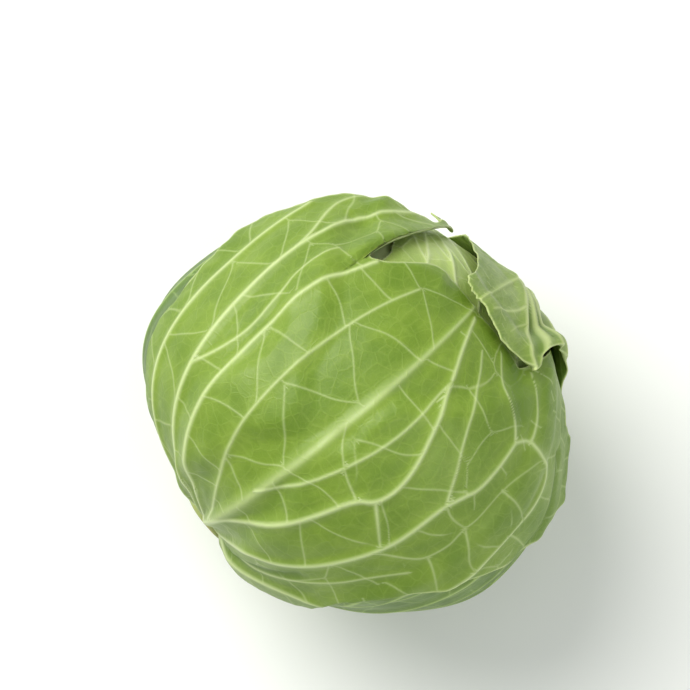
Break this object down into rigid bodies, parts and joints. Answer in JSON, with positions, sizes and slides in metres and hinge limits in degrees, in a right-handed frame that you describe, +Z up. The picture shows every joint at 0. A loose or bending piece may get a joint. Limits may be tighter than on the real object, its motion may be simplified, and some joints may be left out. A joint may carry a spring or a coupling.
{
  "type": "savoy cabbage",
  "caption": "Round head of savoy cabbage lying on its side: pale green, mildly puckered wrapper leaves with thick pale ribs close over a dense inner head and a cut stalk.",
  "frame": {"origin": "middle of the small flat spot that the head rests on, straight under the head's centre", "axes": "+Z up, away from the surface the head lies on; in plan the stalk points to -X and -Y, and the crown to +X and +Y"},
  "size_m": [0.1716, 0.1723, 0.1731],
  "materials": {
    "cut_stalk": "matte",
    "inner_leaf": "satin",
    "dark_leaf": "satin",
    "pale_leaf": "satin",
    "mid_leaf": "satin"
  },
  "bodies": {
    "root": {"stalk": "cut_stalk", "head": "inner_leaf", "right_leaf": "dark_leaf", "left_leaf": "dark_leaf", "front_leaf": "pale_leaf", "back_leaf": "mid_leaf"}
  },
  "joints": []
}
